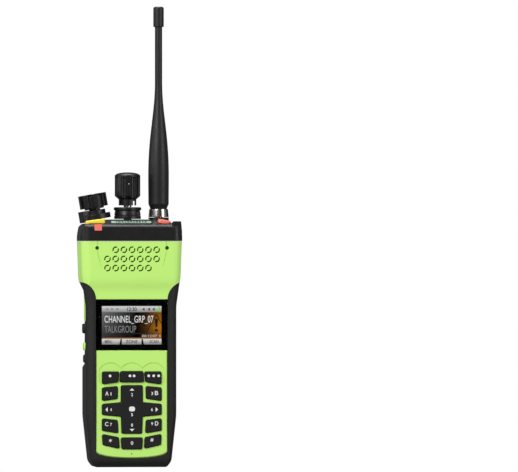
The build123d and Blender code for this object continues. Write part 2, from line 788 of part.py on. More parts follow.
with BuildPart() as collar_switch:
    # rim along the top, a waist below it and a band at the foot
    with BuildSketch(Plane.XZ.offset(-control_y)):
        add(turned_profile([
            (channel_x + shaft_bore_r, 183.2),
            (channel_x + 9.9, 183.2),
            (channel_x + 9.9, 185.2),
            (channel_x + 9.5, 185.5),
            (channel_x + 9.5, 186.0),
            (channel_x + 9.8, 186.3),
            (channel_x + 9.3, 189.0),
            (channel_x + 9.3, 189.5),
            (channel_x + 10.2, 189.9),
            (channel_x + 10.2, 191.3),
            (channel_x + 9.6, 191.9),
            (channel_x + shaft_bore_r, 191.9),
        ]))
    revolve(axis=Axis((channel_x, control_y, 0), (0, 0, 1)))

# ---------------------------------------------------------------- antenna
collar_low_z, ring_low_z, sleeve_low_z = 181.9, 184.6, 190.6
tip_low_z, tip_top_z = 325.3, 340.3
whip_r, tip_r = 2.7, 3.9
stud_bore_r, stud_top_z = stud_r + moving_gap, 188.6
contact_r, contact_top_z = 0.8, 192.0
thread_pitch, thread_turns = 0.7, 4
antenna_lift = thread_pitch * thread_turns


def about_antenna(points):
    return [(antenna_x + r, z) for r, z in points]


with BuildPart() as antenna_collar:
    with BuildSketch(antenna_plane.offset(collar_low_z - 2)):
        Circle(7.6)
        Circle(stud_r, mode=Mode.SUBTRACT)
    extrude(amount=4.4)
    # its underside follows the sloping shoulder
    with BuildSketch(crown_plane(antenna_x, control_y, 1).offset(0.1)):
        Rectangle(40, 40)
    extrude(amount=-12, mode=Mode.SUBTRACT)

with BuildPart() as antenna_stud:
    with BuildSketch(antenna_plane.offset(169)):
        Circle(stud_r)
        Circle(contact_r + moving_gap, mode=Mode.SUBTRACT)
    extrude(amount=stud_top_z - 169)

with BuildPart() as antenna_contact:
    with BuildSketch(antenna_plane.offset(176)):
        Circle(contact_r)
    extrude(amount=contact_top_z - 176)

with BuildPart() as antenna_ring:
    with BuildSketch(Plane.XZ.offset(-control_y)):
        add(turned_profile(about_antenna([
            (stud_bore_r, ring_low_z), (7.3, ring_low_z), (7.5, ring_low_z + 0.3),
            (7.0, sleeve_low_z - 0.3), (6.8, sleeve_low_z), (stud_bore_r, sleeve_low_z),
        ])))
    revolve(axis=Axis((antenna_x, control_y, 0), (0, 0, 1)))

with BuildPart() as antenna_whip:
    with BuildSketch(Plane.XZ.offset(-control_y)):
        sleeve = about_antenna([(6.15, sleeve_low_z), (6.4, 191.6), (7.55, 194.3)])
        flare = about_antenna([(7.55, 194.3), (7.45, 226), (6.36, 242), (5.18, 252.9), (3.37, 269.2), (whip_r, 283)])
        with BuildLine():
            Polyline((antenna_x, sleeve_low_z), *sleeve)
            Spline(*flare, tangents=((0, 1), (-0.02, 1)))
            Polyline(flare[-1], (antenna_x + whip_r, tip_low_z), (antenna_x, tip_low_z), (antenna_x, sleeve_low_z))
        make_face()
    revolve(axis=Axis((antenna_x, control_y, 0), (0, 0, 1)))
    # socket that the contact stands in
    with BuildSketch(antenna_plane.offset(sleeve_low_z)):
        Circle(contact_r + moving_gap)
    extrude(amount=4, mode=Mode.SUBTRACT)

with BuildPart() as antenna_tip:
    with BuildSketch(antenna_plane.offset(tip_low_z)):
        Circle(tip_r)
    extrude(amount=tip_top_z - tip_low_z)
    fillet(antenna_tip.faces().sort_by(Axis.Z)[-1].edges(), radius=1.6)
    fillet(antenna_tip.faces().sort_by(Axis.Z)[0].edges(), radius=0.5)

# ---------------------------------------------------------------- battery pack
battery_half_w, battery_high_z = 30.2, 148.0
battery_wall = 2.4
latch_z, latch_h, latch_y, latch_w = 132.0, 13.0, 16.6, 7.0
latch_proud = 0.7
contact_spots = [(-9, 22), (-3, 22), (3, 22), (9, 22)]

with BuildPart() as battery_case:
    right = [(25.0, 0), (27.6, 4.0), (battery_half_w, 30), (battery_half_w, battery_high_z)]
    with BuildSketch(facing(battery_back_y)):
        with BuildLine():
            FilletPolyline(*right, *mirrored(right), radius=[3, 6, 40, 4, 4, 40, 6, 3], close=True)
        make_face()
    extrude(amount=battery_back_y - battery_front_y)
    fillet(battery_case.faces().sort_by(Axis.Y)[-1].edges(), radius=3.2)
    cell_bay_low_z, cell_bay_high_z = battery_wall + 1.4, battery_high_z - battery_wall
    with BuildSketch(facing(battery_back_y - battery_wall)):
        with Locations((0, cell_bay_low_z)):
            Rectangle(49, cell_bay_high_z - cell_bay_low_z, align=(Align.CENTER, Align.MIN))
        with Locations((0, 30)):
            Rectangle(2 * (battery_half_w - battery_wall), cell_bay_high_z - 30, align=(Align.CENTER, Align.MIN))
    extrude(amount=20, mode=Mode.SUBTRACT)
    # side openings for the latch buttons
    with BuildSketch(Plane.YZ.offset(-40)):
        with Locations((latch_y, latch_z)):
            RectangleRounded(latch_w + 2 * moving_gap, latch_h + 2 * moving_gap, 1.5)
    extrude(amount=80, mode=Mode.SUBTRACT)
    # finger grooves across the back
    with BuildSketch(facing(battery_back_y - 0.6)):
        with GridLocations(0, 4.2, 1, 6):
            with Locations((0, 128)):
                SlotOverall(36, 1.6)
    extrude(amount=3, mode=Mode.SUBTRACT)

with BuildPart() as battery_lid:
    with BuildSketch(facing(battery_front_y + 2.0)):
        with Locations((0, cell_bay_low_z + seat_gap)):
            Rectangle(48.6, cell_bay_high_z - cell_bay_low_z - 2 * seat_gap, align=(Align.CENTER, Align.MIN))
    extrude(amount=2.0)
    with BuildSketch(facing(battery_front_y + 3)):
        with Locations(*contact_spots):
            Rectangle(3.4, 6)
    extrude(amount=4, mode=Mode.SUBTRACT)

with BuildPart() as battery_contacts:
    with BuildSketch(facing(battery_front_y + 1.6)):
        with Locations(*contact_spots):
            Rectangle(3.4, 6)
    extrude(amount=1.4)

with BuildPart() as battery_cells:
    with BuildSketch(facing(21.6)):
        with Locations((-12.3, 66), (12.3, 66)):
            RectangleRounded(23.6, 112, 2)
    extrude(amount=9.2)

latch_inner_x = 26.4
latch_pieces = {}
for latch_name, side in (("battery_latch_left", -1), ("battery_latch_right", 1)):
    with BuildPart() as latch:
        with BuildSketch(Plane.YZ.offset(side * latch_inner_x)):
            with Locations((latch_y, latch_z)):
                RectangleRounded(latch_w, latch_h, 1.2)
        extrude(amount=side * (battery_half_w + latch_proud - latch_inner_x))
        outer_face = sorted(latch.faces(), key=lambda face: side * face.center().X)[-1]
        fillet(outer_face.edges(), radius=0.6)
    latch_pieces[latch_name] = latch.part

with BuildPart() as contact_block:
    with BuildSketch(facing(chassis_back_y)):
        with Locations((0, 22)):
            Rectangle(25, 10)
    extrude(amount=6.4)
    with BuildSketch(facing(chassis_back_y)):
        with Locations(*contact_spots):
            Circle(0.9)
    extrude(amount=-0.3)

with rear_chassis:
    with BuildSketch(facing(chassis_back_y + 1)):
        with Locations((0, 22)):
            Rectangle(25, 10)
    extrude(amount=12, mode=Mode.SUBTRACT)

# ---------------------------------------------------------------- export
pieces = {
    "front_housing": front_housing.part,
    "grip_frame": grip_frame.part,
    "rear_chassis": rear_chassis.part,
    "top_bezel": top_bezel.part,
    "display_glass": display_glass.part,
    "lcd_module": lcd_module.part,
    "top_display": top_display.part,
    "level_lens": level_lens.part,
    "status_light": status_light.part,
    "emergency_button": emergency_button.part,
    "microphone": microphone.part,
    "keypad_membrane": keypad_membrane.part,
    "keypad_board": keypad_board.part,
    "nav_plunger": nav_plunger.part,
    "nav_rocker_plate": nav_rocker_plate.part,
    "main_board": main_board.part,
    "shield_can": shield_can.part,
    "speaker_cloth": speaker_cloth.part,
    "speaker_frame": speaker_frame.part,
    "speaker_cone": speaker_cone.part,
    "speaker_magnet": speaker_magnet.part,
    "body_gasket": body_gasket.part,
    "chassis_screws": chassis_screws.part,
    "accessory_cover": accessory_cover.part,
    "cover_screw": cover_screw.part,
    "volume_bush": volume_bush.part,
    "lever_ring": lever_ring.part,
    "volume_knob": volume_knob.part,
    "volume_shaft": volume_shaft.part,
    "channel_knob": channel_knob.part,
    "channel_shaft": channel_shaft.part,
    "collar_switch": collar_switch.part,
    "antenna_collar": antenna_collar.part,
    "antenna_stud": antenna_stud.part,
    "antenna_contact": antenna_contact.part,
    "antenna_ring": antenna_ring.part,
    "antenna_whip": antenna_whip.part,
    "antenna_tip": antenna_tip.part,
    "battery_case": battery_case.part,
    "battery_lid": battery_lid.part,
    "battery_contacts": battery_contacts.part,
    "battery_cells": battery_cells.part,
    "contact_block": contact_block.part,
    **side_pieces,
    **key_pieces,
    **latch_pieces,
}

os.makedirs("parts", exist_ok=True)
for piece_name, piece in pieces.items():
    piece.label = piece_name
    export_step(piece, f"parts/{piece_name}.step")
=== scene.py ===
import json
import math

import bmesh
import bpy
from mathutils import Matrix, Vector


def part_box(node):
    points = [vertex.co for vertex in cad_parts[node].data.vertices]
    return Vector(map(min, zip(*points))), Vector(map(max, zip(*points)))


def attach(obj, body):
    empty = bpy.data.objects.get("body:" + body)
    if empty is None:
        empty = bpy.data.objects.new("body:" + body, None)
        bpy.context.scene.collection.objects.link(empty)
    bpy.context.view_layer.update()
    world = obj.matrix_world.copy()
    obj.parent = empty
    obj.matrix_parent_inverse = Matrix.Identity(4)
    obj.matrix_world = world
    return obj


MM = 0.001
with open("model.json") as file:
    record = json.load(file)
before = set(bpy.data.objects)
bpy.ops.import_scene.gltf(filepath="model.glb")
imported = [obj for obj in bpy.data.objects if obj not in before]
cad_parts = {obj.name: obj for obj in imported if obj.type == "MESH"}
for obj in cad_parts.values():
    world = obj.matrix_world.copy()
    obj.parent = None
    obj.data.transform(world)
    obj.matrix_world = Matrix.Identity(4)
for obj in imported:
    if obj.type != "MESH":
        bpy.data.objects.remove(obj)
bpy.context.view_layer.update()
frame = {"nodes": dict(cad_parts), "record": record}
nodes = frame["nodes"]


# ---------------------------------------------------------------- camera and light
VIEW_TURN = math.radians(6.2)         # the radio is seen a little from its side-key side
VIEW_DISTANCE = 6.0
VIEW_HEIGHT = 0.1706
VIEW_WIDTH = 0.38332                  # metres across the picture at the radio
SENSOR = 36.0
VIEW_SHIFT = 0.2517                   # share of the picture's width, which puts the radio on its left
SURROUND_LIGHT = 0.42
SURROUND_GLOSS = 0.16
WHITE = (1, 1, 1, 1)
# name: place, aim, size of the soft box in metres, power in watts
LIGHTS = {
    "key_light": ((-0.9, -1.1, 1.0), (0, 0, 0.12), (0.7, 0.9), 17),
    "fill_light": ((1.1, -1.0, 0.5), (0, 0, 0.12), (0.6, 0.9), 6),
    "top_light": ((0.0, 0.2, 1.4), (0, 0, 0.15), (0.8, 0.6), 12),
    "left_strip": ((-1.3, -0.1, 0.35), (0, 0, 0.12), (0.25, 1.2), 2.5),
}


def add_camera():
    data = bpy.data.cameras.new("view_camera")
    data.sensor_width = SENSOR
    data.lens = SENSOR * VIEW_DISTANCE / VIEW_WIDTH
    data.shift_x = VIEW_SHIFT
    camera = bpy.data.objects.new("view_camera", data)
    across, back = math.sin(VIEW_TURN), math.cos(VIEW_TURN)
    camera.location = (-VIEW_DISTANCE * across, -VIEW_DISTANCE * back, VIEW_HEIGHT)
    camera.rotation_euler = (math.pi / 2, 0, -VIEW_TURN)
    bpy.context.scene.collection.objects.link(camera)
    bpy.context.scene.camera = camera


def add_area_light(name, place, aim, size, power):
    data = bpy.data.lights.new(name, "AREA")
    data.shape = "RECTANGLE"
    data.size, data.size_y = size
    data.energy = power
    light = bpy.data.objects.new(name, data)
    light.location = place
    light.rotation_euler = (Vector(aim) - Vector(place)).to_track_quat("-Z", "Y").to_euler()
    bpy.context.scene.collection.objects.link(light)


def add_stage():
    """White surround for the camera, a dimmer one for light and reflections, and four soft boxes."""
    world = bpy.data.worlds.new("studio")
    world.use_nodes = True
    tree = world.node_tree
    background = tree.nodes["Background"]
    background.inputs["Color"].default_value = WHITE
    rays = tree.nodes.new("ShaderNodeLightPath")
    glossy = rays.outputs["Is Glossy Ray"]
    indirect = ramp_between(tree, glossy, 0.0, 1.0, SURROUND_LIGHT, SURROUND_GLOSS)
    seen = tree.nodes.new("ShaderNodeMath")
    seen.operation = "MAXIMUM"
    tree.links.new(rays.outputs["Is Camera Ray"], seen.inputs[0])
    tree.links.new(indirect, seen.inputs[1])
    tree.links.new(seen.outputs["Value"], background.inputs["Strength"])
    bpy.context.scene.world = world
    bpy.context.scene.view_settings.view_transform = "Standard"
    for name, (place, aim, size, power) in LIGHTS.items():
        add_area_light(name, place, aim, size, power)


# ---------------------------------------------------------------- materials
SLOW_SCALE, SMUDGE_SCALE = 45.0, 160.0      # colour drift and fingermarks, in repeats a metre
WORN_AND_HIGHLIT_FULL = 0.55                            # most that an edge takes of its lighter colour, which stands for wear and for painted highlight
GLOSS_SPREAD = 0.06
COAT_ROUGHNESS = 0.25
GRIP_STIPPLE, SHELL_STIPPLE = 0.00009, 0.00005
GLASS_IOR = 1.12                            # low, so that the window keeps its reflection faint
GLASS_ROUGHNESS = 0.03
DOT_SCALE, DOT_DEPTH = 5200.0, 0.04         # the display's dots: repeats a metre, and how far they vary


def new_material(name):
    material = bpy.data.materials.new(name)
    material.use_nodes = True
    tree = material.node_tree
    return material, tree, tree.nodes["Principled BSDF"]


def node(tree, kind, **values):
    """Adds a node and sets its properties, and its inputs where the name is an input's."""
    made = tree.nodes.new(kind)
    for key, value in values.items():
        if key in made.inputs:
            made.inputs[key].default_value = value
        else:
            setattr(made, key, value)
    return made


def colour_mix(tree, blend_type="MIX"):
    """A colour mix node, as its factor, its two colours and its result."""
    made = tree.nodes.new("ShaderNodeMix")
    made.data_type = "RGBA"
    made.blend_type = blend_type
    return made.inputs[0], made.inputs[6], made.inputs[7], made.outputs[2]


def scaled(colour, factor):
    return tuple(min(1.0, channel * factor) for channel in colour) + (1,)


def ramp_between(tree, source, low, high, low_value, high_value):
    """Maps a value in low..high to low_value..high_value."""
    made = node(tree, "ShaderNodeMapRange")
    for key, value in (("From Min", low), ("From Max", high), ("To Min", low_value), ("To Max", high_value)):
        made.inputs[key].default_value = value
    tree.links.new(source, made.inputs["Value"])
    return made.outputs["Result"]


def moulded(name, colour, roughness=0.5, grain=2600, depth=0.35, drift=0.08, edge_wear_and_highlight=1.5, edge=0.35,
            specular=0.5, metallic=0.0, coat=0.0, stipple=0.00006):
    """Moulded or cast surface: slow colour drift, fine grain, uneven gloss, and edges lightened partly as
    wear and partly as a painted highlight.
    """
    material, tree, shader = new_material(name)
    links = tree.links
    where = node(tree, "ShaderNodeTexCoord").outputs["Object"]
    slow = node(tree, "ShaderNodeTexNoise", Scale=SLOW_SCALE, Detail=4.0, Roughness=0.55)
    fine = node(tree, "ShaderNodeTexNoise", Scale=float(grain), Detail=3.0, Roughness=0.6)
    smudge = node(tree, "ShaderNodeTexNoise", Scale=SMUDGE_SCALE, Detail=5.0, Roughness=0.65)
    for texture in (slow, fine, smudge):
        links.new(where, texture.inputs["Vector"])
    shade_factor, shade_low, shade_high, shade = colour_mix(tree)
    shade_low.default_value = scaled(colour, 1 - drift)
    shade_high.default_value = scaled(colour, 1 + drift)
    links.new(slow.outputs["Fac"], shade_factor)
    # edges: where a rounded normal leaves the true one; the colour is lightened there, partly as wear and
    # partly as painted highlight
    bevel = node(tree, "ShaderNodeBevel", samples=4, Radius=edge * MM)
    normal = node(tree, "ShaderNodeNewGeometry").outputs["Normal"]
    turn = node(tree, "ShaderNodeVectorMath", operation="DOT_PRODUCT")
    links.new(bevel.outputs["Normal"], turn.inputs[0])
    links.new(normal, turn.inputs[1])
    worn_and_highlit = ramp_between(tree, turn.outputs["Value"], 0.985, 0.80, 0.0, WORN_AND_HIGHLIT_FULL)
    patchy = node(tree, "ShaderNodeMath", operation="MULTIPLY")
    links.new(worn_and_highlit, patchy.inputs[0])
    links.new(smudge.outputs["Fac"], patchy.inputs[1])
    edge_factor, plain, edge_colour, edged = colour_mix(tree)
    links.new(patchy.outputs["Value"], edge_factor)
    links.new(shade, plain)
    # painted highlight and wear: the edge colour is the base colour times this factor
    edge_colour.default_value = scaled(colour, edge_wear_and_highlight)
    links.new(edged, shader.inputs["Base Color"])
    smooth, rough = roughness - GLOSS_SPREAD, roughness + GLOSS_SPREAD
    gloss = ramp_between(tree, smudge.outputs["Fac"], 0.3, 0.7, smooth, rough)
    links.new(gloss, shader.inputs["Roughness"])
    bump = node(tree, "ShaderNodeBump", Strength=depth, Distance=stipple)
    links.new(fine.outputs["Fac"], bump.inputs["Height"])
    links.new(bevel.outputs["Normal"], bump.inputs["Normal"])
    links.new(bump.outputs["Normal"], shader.inputs["Normal"])
    shader.inputs["Specular IOR Level"].default_value = specular
    shader.inputs["Metallic"].default_value = metallic
    shader.inputs["Coat Weight"].default_value = coat
    shader.inputs["Coat Roughness"].default_value = COAT_ROUGHNESS
    return material


def lit(name, colour):
    """A lit patch of the display, with the faint dot pattern of its pixels."""
    material, tree, shader = new_material(name)
    where = node(tree, "ShaderNodeTexCoord").outputs["Object"]
    dots = node(tree, "ShaderNodeTexVoronoi", Scale=DOT_SCALE)
    tree.links.new(where, dots.inputs["Vector"])
    factor, near, far, shade = colour_mix(tree)
    near.default_value = scaled(colour, 1 + DOT_DEPTH)
    far.default_value = scaled(colour, 1 - DOT_DEPTH)
    tree.links.new(dots.outputs["Distance"], factor)
    tree.links.new(shade, shader.inputs["Emission Color"])
    return finish_lit(material, shader)


def finish_lit(material, shader):
    """The display gives its own light and reflects next to none."""
    shader.inputs["Base Color"].default_value = (0.002, 0.002, 0.002, 1)
    shader.inputs["Emission Strength"].default_value = 1.0
    shader.inputs["Specular IOR Level"].default_value = 0.05
    shader.inputs["Roughness"].default_value = 0.4
    return material


def lit_fade(name, low_z, high_z, low_colour, high_colour):
    """A lit patch that fades from one colour at its foot to another at its top."""
    material, tree, shader = new_material(name)
    factor, low, high, shade = colour_mix(tree)
    low.default_value = low_colour + (1,)
    high.default_value = high_colour + (1,)
    tree.links.new(ramp_between(tree, place_along(tree, "Z"), low_z * MM, high_z * MM, 0.0, 1.0), factor)
    tree.links.new(shade, shader.inputs["Emission Color"])
    return finish_lit(material, shader)


def place_along(tree, axis):
    """Object coordinate on one axis, in metres."""
    parts = node(tree, "ShaderNodeSeparateXYZ")
    tree.links.new(node(tree, "ShaderNodeTexCoord").outputs["Object"], parts.inputs["Vector"])
    return parts.outputs[axis]


def clear_glass(name, tint):
    """Window glass with faint smears in its gloss."""
    material, tree, shader = new_material(name)
    where = node(tree, "ShaderNodeTexCoord").outputs["Object"]
    smear = node(tree, "ShaderNodeTexNoise", Scale=90.0, Detail=5.0)
    tree.links.new(where, smear.inputs["Vector"])
    gloss = ramp_between(tree, smear.outputs["Fac"], 0.35, 0.7, GLASS_ROUGHNESS, GLASS_ROUGHNESS + 0.05)
    tree.links.new(gloss, shader.inputs["Roughness"])
    shader.inputs["Base Color"].default_value = tint
    shader.inputs["Transmission Weight"].default_value = 1.0
    shader.inputs["IOR"].default_value = GLASS_IOR
    return material


# slot: base colour, roughness and what differs from a plain moulding
MOULDED_SLOTS = {
    "hi_vis_shell": ((0.545, 0.90, 0.196), 0.42,
                     {"depth": 0.25, "drift": 0.03, "edge_wear_and_highlight": 1.12, "specular": 0.3, "stipple": SHELL_STIPPLE}),
    # the large edge factors on the black slots mostly paint highlight lines along their edges, with some wear
    "grip_black": ((0.0095, 0.0095, 0.0092), 0.58,
                   {"grain": 2000, "depth": 0.9, "drift": 0.15, "edge_wear_and_highlight": 5.0, "edge": 0.7, "specular": 0.45,
                    "stipple": GRIP_STIPPLE}),
    "case_black": ((0.0068, 0.0070, 0.0066), 0.40,
                   {"grain": 2400, "depth": 0.5, "drift": 0.12, "edge_wear_and_highlight": 7.0, "edge": 0.6, "specular": 0.45}),
    "knob_black": ((0.0038, 0.0040, 0.0037), 0.36,
                   {"grain": 3000, "depth": 0.4, "drift": 0.12, "edge_wear_and_highlight": 10.0, "edge": 0.6}),
    "key_black": ((0.0155, 0.0155, 0.0160), 0.55, {"depth": 0.5, "edge_wear_and_highlight": 1.8, "edge": 0.3, "specular": 0.2}),
    "antenna_black": ((0.0062, 0.0064, 0.0061), 0.45,
                      {"grain": 1700, "depth": 0.8, "drift": 0.15, "edge_wear_and_highlight": 4.0, "stipple": GRIP_STIPPLE}),
    "yellow_plastic": ((1.0, 0.76, 0.045), 0.35, {"drift": 0.06, "edge_wear_and_highlight": 1.1, "coat": 0.3}),
    "coral_plastic": ((0.97, 0.205, 0.145), 0.35, {"drift": 0.06, "edge_wear_and_highlight": 1.3, "coat": 0.3}),
    "pale_display": ((0.40, 0.58, 0.45), 0.25, {"drift": 0.12, "edge_wear_and_highlight": 1.1, "coat": 0.5}),
    "steel": ((0.50, 0.50, 0.51), 0.3, {"metallic": 1.0, "edge_wear_and_highlight": 1.2}),
    "screw_black": ((0.022, 0.075, 0.005), 0.5, {"edge_wear_and_highlight": 1.6, "specular": 0.2}),
    "brass_contact": ((0.80, 0.58, 0.24), 0.25, {"metallic": 1.0, "edge_wear_and_highlight": 1.1}),
    "board_green": ((0.015, 0.16, 0.06), 0.4, {"edge_wear_and_highlight": 1.2}),
    "cloth_black": ((0.075, 0.21, 0.012), 0.9, {"grain": 1400, "depth": 1.0, "edge_wear_and_highlight": 1.0, "specular": 0.1}),
    "silicone_grey": ((0.20, 0.30, 0.12), 0.6, {"edge_wear_and_highlight": 1.1}),
    "cell_wrap": ((0.03, 0.06, 0.30), 0.35, {"edge_wear_and_highlight": 1.2}),
    "paper_cone": ((0.03, 0.03, 0.03), 0.9, {"edge_wear_and_highlight": 1.0}),
    "screen": ((0.003, 0.003, 0.003), 0.3, {"edge_wear_and_highlight": 1.0, "specular": 0.05}),
}


def make_materials():
    made = {slot: moulded(slot, colour, roughness, **extras)
            for slot, (colour, roughness, extras) in MOULDED_SLOTS.items()}
    made["chrome_ring"] = chrome_with_painted_reflections()
    made["window_glass"] = clear_glass("window_glass", (0.97, 0.98, 0.98, 1))
    return made


def chrome_with_painted_reflections():
    """Polished ring: its base colour carries painted reflections, darker and brighter metal in streaks
    running up it.
    """
    material = moulded("chrome_ring", (0.62, 0.60, 0.57), 0.16, grain=900, depth=0.12, drift=0.04, edge_wear_and_highlight=1.3,
                       metallic=1.0)
    tree = material.node_tree
    shader = tree.nodes["Principled BSDF"]
    where = node(tree, "ShaderNodeTexCoord").outputs["Object"]
    stretched = node(tree, "ShaderNodeMapping")
    stretched.inputs["Scale"].default_value = (1.0, 1.0, 0.02)
    tree.links.new(where, stretched.inputs["Vector"])
    painted_reflection_streaks = node(tree, "ShaderNodeTexNoise", Scale=190.0, Detail=1.0)
    tree.links.new(stretched.outputs["Vector"], painted_reflection_streaks.inputs["Vector"])
    # painted reflection: the dark and bright bands stand for surroundings mirrored in the polished metal
    factor, dark, bright, mixed = colour_mix(tree)
    dark.default_value = (0.035, 0.033, 0.030, 1)
    bright.default_value = (0.80, 0.78, 0.74, 1)
    tree.links.new(ramp_between(tree, painted_reflection_streaks.outputs["Fac"], 0.38, 0.54, 0.0, 1.0), factor)
    tree.links.new(mixed, shader.inputs["Base Color"])
    return material


def dress_cad_nodes(materials):
    """Every CAD node takes its slot's material."""
    for entry in frame["record"]["subparts"]:
        cad_object = nodes[entry["node"]]
        cad_object.data.materials.clear()
        cad_object.data.materials.append(materials[entry["material_slot"]])


# ---------------------------------------------------------------- flat pieces: legends and the picture
def keep(piece, body, material):
    """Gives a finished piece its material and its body."""
    piece.data.materials.clear()
    piece.data.materials.append(material)
    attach(piece, body)


def link_mesh(name, mesh):
    piece = bpy.data.objects.new(name, mesh)
    bpy.context.scene.collection.objects.link(piece)
    return piece


def finish_build(name, build):
    """Turns a closed bmesh into a linked piece whose faces all point outward."""
    bmesh.ops.recalc_face_normals(build, faces=build.faces)
    mesh = bpy.data.meshes.new(name)
    build.to_mesh(mesh)
    build.free()
    return link_mesh(name, mesh)


def plate(name, outline, y, thickness):
    """Flat closed plate facing -Y, from an outline of (x, z) points in millimetres."""
    build = bmesh.new()
    face = build.faces.new([build.verts.new((x * MM, y * MM, z * MM)) for x, z in outline])
    build.normal_update()
    if face.normal.y > 0:
        face.normal_flip()
    swept = bmesh.ops.extrude_face_region(build, geom=[face])
    moved = [item for item in swept["geom"] if isinstance(item, bmesh.types.BMVert)]
    bmesh.ops.translate(build, verts=moved, vec=(0, -thickness * MM, 0))
    return finish_build(name, build)


def box_outline(left, right, low, high):
    return [(left, low), (right, low), (right, high), (left, high)]


def ring_of_points(x, z, radius_x, radius_z, count=28, power=2.0):
    """Ellipse, or a rounder square where power is above 2."""
    points = []
    for index in range(count):
        angle = 2 * math.pi * index / count
        cosine, sine = math.cos(angle), math.sin(angle)
        points.append((x + radius_x * math.copysign(abs(cosine) ** (2 / power), cosine),
                       z + radius_z * math.copysign(abs(sine) ** (2 / power), sine)))
    return points


BOLD, PLAIN = 0.02, 0.0                     # how far the font's outline is thickened
WELD_DISTANCE = 0.000002


def lettering(name, words, left, right, low, high, y, thickness, weight=BOLD):
    """Raised characters that fill the box left..right, low..high on a plane facing -Y."""
    curve = bpy.data.curves.new(name, "FONT")
    curve.body = words
    curve.extrude = 0.5
    curve.offset = weight
    curve.resolution_u = 4
    text = bpy.data.objects.new(name, curve)
    bpy.context.scene.collection.objects.link(text)
    bpy.context.view_layer.update()
    mesh = bpy.data.meshes.new_from_object(text)
    bpy.data.objects.remove(text)
    xs = [v.co.x for v in mesh.vertices]
    ys = [v.co.y for v in mesh.vertices]
    wide, tall = max(xs) - min(xs), max(ys) - min(ys)
    for vertex in mesh.vertices:
        across = left + (vertex.co.x - min(xs)) / wide * (right - left)
        up = low + (vertex.co.y - min(ys)) / tall * (high - low)
        deep = y - (vertex.co.z + 0.5) * thickness
        vertex.co = (across * MM, deep * MM, up * MM)
    build = bmesh.new()
    build.from_mesh(mesh)
    bpy.data.meshes.remove(mesh)
    bmesh.ops.remove_doubles(build, verts=build.verts, dist=WELD_DISTANCE)
    return finish_build(name, build)


# ---------------------------------------------------------------- marks on the top display
TOP_MARKS = 11
TOP_MARK_W, TOP_MARK_L = 0.06, 0.55     # shares of the strip's half length and half width
TOP_MARK_T = 0.03
TOP_ROW_SHARE = 0.8                     # share of the strip's length that the row takes


def add_top_marks():
    """Row of plain dark segments along the pale strip, flat on its sloping face."""
    strip = nodes["top_display"]
    points = [strip.matrix_world @ vertex.co / MM for vertex in strip.data.vertices]
    face = max(strip.data.polygons, key=lambda polygon: polygon.normal.z * polygon.area)
    outward = (strip.matrix_world.to_3x3() @ face.normal).normalized()
    level = max(point.dot(outward) for point in points)
    top = [point for point in points if point.dot(outward) > level - 0.02]
    middle = sum(top, Vector()) / len(top)
    up_slope = outward.cross(Vector((1, 0, 0))).normalized()
    half_length = max(abs((point - middle).x) for point in top)
    half_width = max(abs((point - middle).dot(up_slope)) for point in top)
    ink = moulded("top_mark_ink", (0.02, 0.035, 0.028), 0.5, edge_wear_and_highlight=1.0)
    build = bmesh.new()
    pitch = half_length * 2 * TOP_ROW_SHARE / TOP_MARKS
    for index in range(TOP_MARKS):
        across = (index - (TOP_MARKS - 1) / 2) * pitch
        wide = half_length * TOP_MARK_W * (0.6 + 0.2 * (index * 2 % 3))
        centre = middle + Vector((across, 0, 0))
        add_slab(build, centre, wide, up_slope * half_width * TOP_MARK_L, outward * TOP_MARK_T)
    keep(finish_build("top_marks", build), "radio", ink)


def add_slab(build, centre, half_w, along, up):
    """Thin box on centre: half_w to each side along X, along to each end, and up from its foot."""
    corners = []
    for lift in (Vector((0, 0, 0)), up):
        for side, way in ((-1, -1), (1, -1), (1, 1), (-1, 1)):
            corner = centre + Vector((side * half_w, 0, 0)) + along * way + lift
            corners.append(build.verts.new(corner * MM))
    for face in ((0, 3, 2, 1), (4, 5, 6, 7), (0, 1, 5, 4), (1, 2, 6, 5), (2, 3, 7, 6), (3, 0, 4, 7)):
        build.faces.new([corners[index] for index in face])


# ---------------------------------------------------------------- key legends
LEGEND_THICKNESS = 0.03
DOT_R = 1.0
LETTER_H, DIGIT_H = 3.1, 2.3
NARROW, USUAL, WIDE = 0.28, 0.62, 0.82      # width of a character over its height
CROSS = "nav_cross_key"


def key_face_y(key):
    """Just in front of the key's face, in millimetres."""
    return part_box(key)[0][1] / MM - 0.002


def on_keypad(across, up):
    """Place on the keypad, in millimetres from the middle of its cross key."""
    low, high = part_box(CROSS)
    return (low[0] + high[0]) / 2 / MM + across, (low[2] + high[2]) / 2 / MM + up


def legend_dot(key, tag, across, up, radius_x=DOT_R, radius_z=DOT_R, power=2.0):
    x, z = on_keypad(across, up)
    dot = plate(f"legend_{tag}", ring_of_points(x, z, radius_x, radius_z, power=power), key_face_y(key),
                LEGEND_THICKNESS)
    keep(dot, body_of_key(key), legend_white)


def legend_text(key, tag, words, across, up, height, aspect=USUAL):
    x, z = on_keypad(across, up)
    half_w = height * aspect / 2
    text = lettering(f"legend_{tag}", words, x - half_w, x + half_w, z - height / 2, z + height / 2,
                     key_face_y(key), LEGEND_THICKNESS)
    keep(text, body_of_key(key), legend_white)


def legend_arrow(tag, across, up, turn):
    """Triangle on the cross key, pointing up before it is turned."""
    x, z = on_keypad(across, up)
    half_w, tall = 1.75, 1.8
    corners = [(-half_w, -tall / 2), (half_w, -tall / 2), (0, tall / 2)]
    cosine, sine = math.cos(turn), math.sin(turn)
    outline = [(x + u * cosine - v * sine, z + u * sine + v * cosine) for u, v in corners]
    arrow = plate(f"legend_{tag}", outline, key_face_y(CROSS), LEGEND_THICKNESS)
    keep(arrow, body_of_key(CROSS), legend_white)


def body_of_key(key):
    for body, members in frame["record"]["behaviour"]["bodies"].items():
        if key in members:
            return body
    raise ValueError(key)


